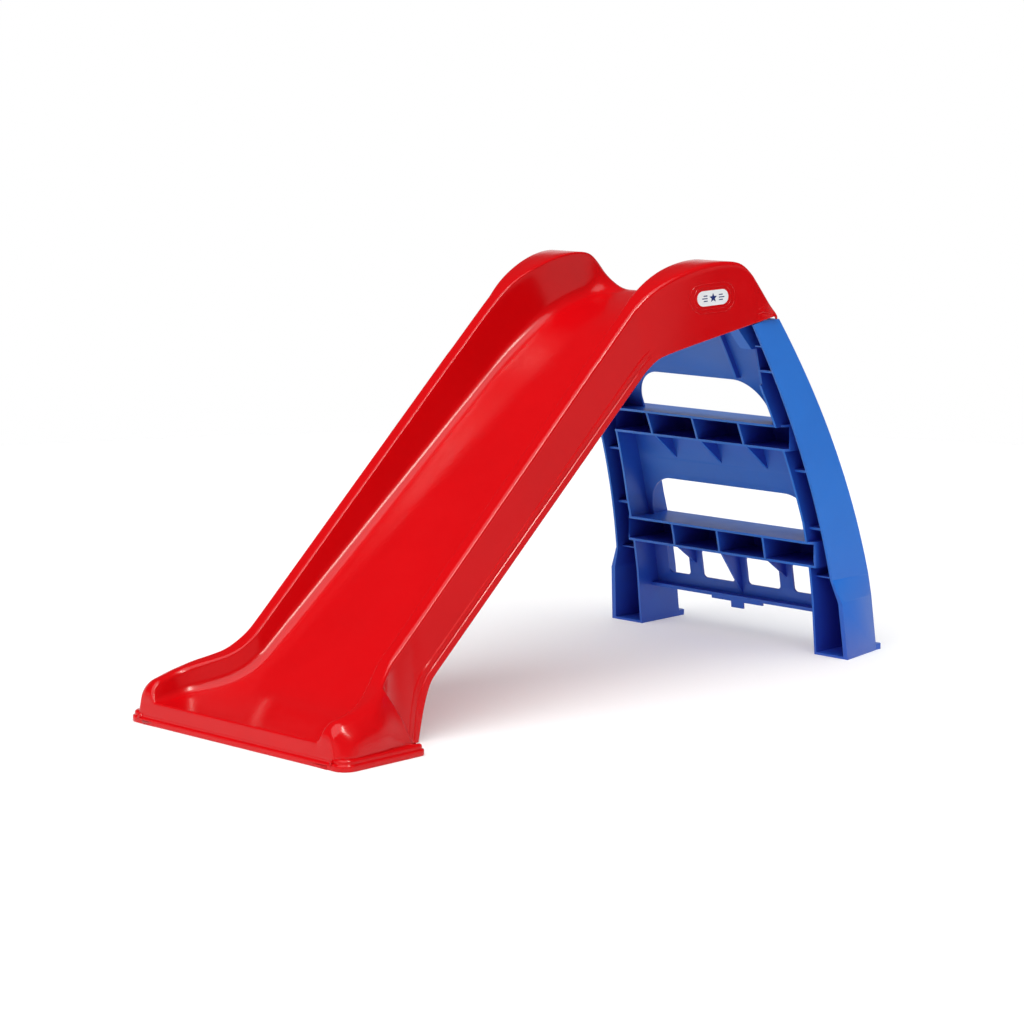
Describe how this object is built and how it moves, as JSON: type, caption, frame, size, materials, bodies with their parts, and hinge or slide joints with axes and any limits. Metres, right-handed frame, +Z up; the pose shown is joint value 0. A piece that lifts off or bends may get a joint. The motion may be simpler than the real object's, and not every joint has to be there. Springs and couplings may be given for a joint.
{
  "type": "toddler slide",
  "caption": "Small indoor and garden slide for toddlers: a moulded chute with side rails and hand-hold cheeks, hinged to a moulded step ladder that folds in under it.",
  "frame": {"origin": "on the floor, in the middle of the slide's length and width", "axes": "+Z up, +Y from the chute's exit towards the ladder, +X across the slide to its right-hand side when seen from the exit"},
  "size_m": [0.4396, 1.023, 0.5583],
  "materials": {
    "red_plastic": "satin gloss, blow-moulded polyethylene",
    "blue_plastic": "satin, moulded polyethylene",
    "badge_white": "smooth"
  },
  "bodies": {
    "slide": {"chute": "red_plastic", "badge_right": "badge_white", "badge_left": "badge_white"},
    "ladder": {"ladder": "blue_plastic"}
  },
  "joints": [
    {"name": "ladder_fold", "type": "hinge", "parent": "slide", "child": "ladder", "pos_m": [0, 0.2405, 0.508], "axis": [-1, 0, 0], "range_deg": [0, 70]}
  ]
}
